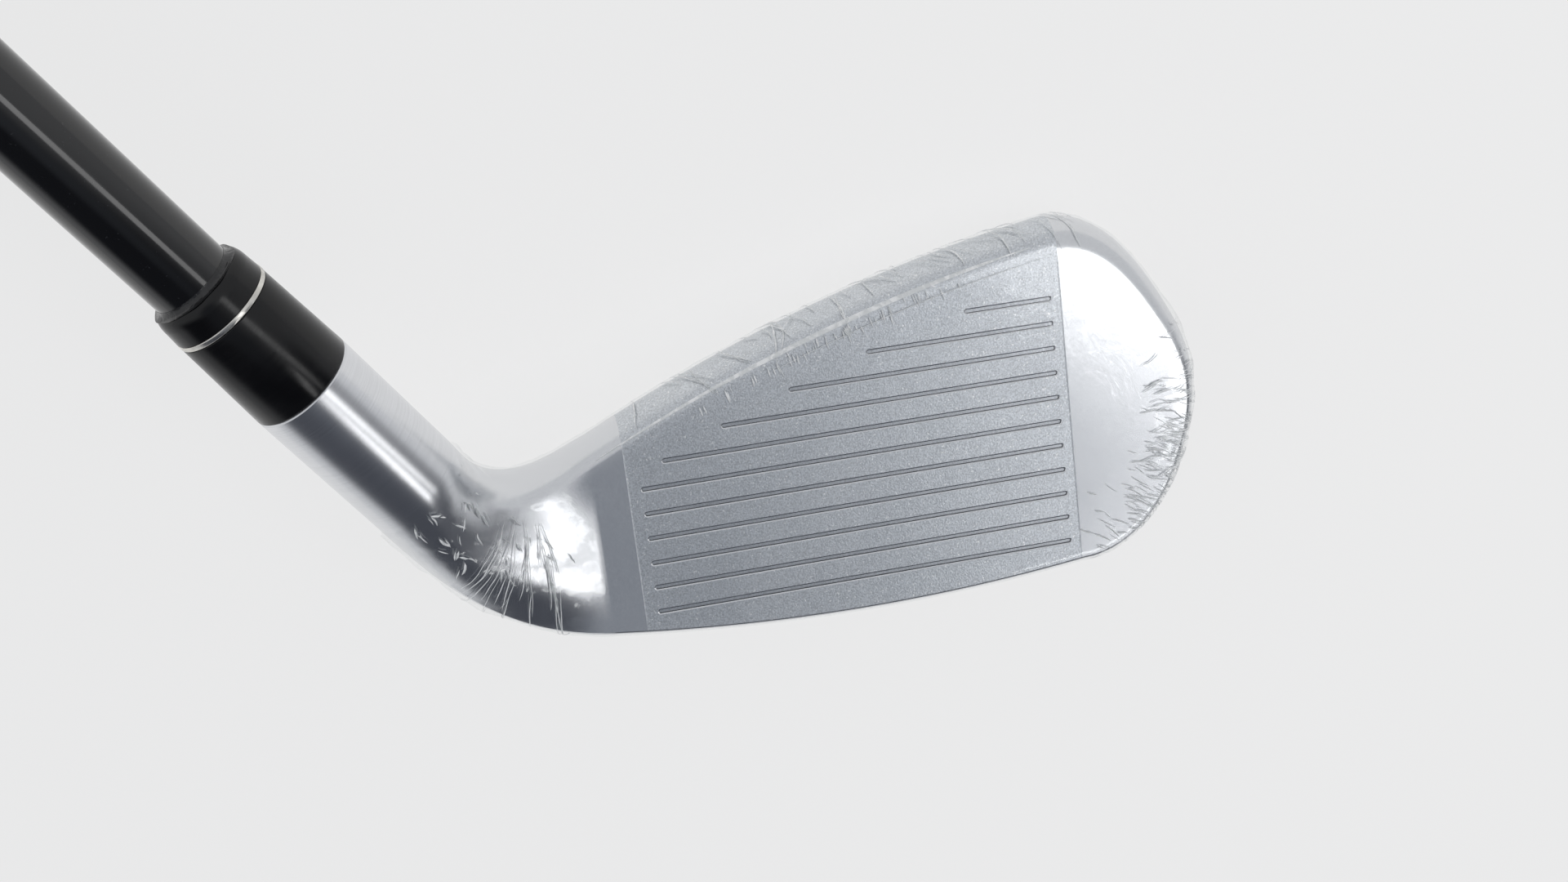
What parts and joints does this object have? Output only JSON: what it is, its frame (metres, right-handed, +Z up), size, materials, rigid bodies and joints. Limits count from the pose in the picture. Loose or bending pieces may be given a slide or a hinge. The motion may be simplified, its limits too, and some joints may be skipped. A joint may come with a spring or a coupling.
{
  "type": "hybrid golf club",
  "caption": "Iron-style hybrid golf club lying face up: grooved steel head in clear film, offset neck, ferrule, tapered shaft and rubber grip, for striking a ball.",
  "frame": {"origin": "on the floor, under the centre of the lying club's box", "axes": "+X from the grip to the head along the shaft, +Z up from the floor, the striking face up"},
  "size_m": [1.0352, 0.0962, 0.027],
  "materials": {
    "head_steel": "satin chrome, brushed along the hosel and up the heel and toe",
    "face_steel": "fine blasted matte grey",
    "weight_metal": "plain dense metal",
    "clear_film": "clear shrink film with small wrinkles",
    "ferrule_black": "polished black",
    "trim_silver": "bright turned ring",
    "adhesive": "dark cured adhesive",
    "shaft_gloss_black": "gloss black lacquer over graphite",
    "pin_brass": "turned",
    "plug_cork": "natural cork",
    "grip_tape": "plain paper tape",
    "grip_rubber": "matte moulded rubber"
  },
  "bodies": {
    "root": {"head_body": "head_steel", "face_plate": "face_steel", "sole_weight": "weight_metal", "head_film": "clear_film", "ferrule_body": "ferrule_black", "ferrule_trim_ring": "trim_silver", "ferrule_collar": "ferrule_black", "adhesive_bead": "adhesive", "shaft": "shaft_gloss_black", "tip_weight_pin": "pin_brass", "tip_plug": "plug_cork", "grip_tape": "grip_tape", "grip_sleeve": "grip_rubber", "grip_cap": "grip_rubber"}
  },
  "joints": []
}
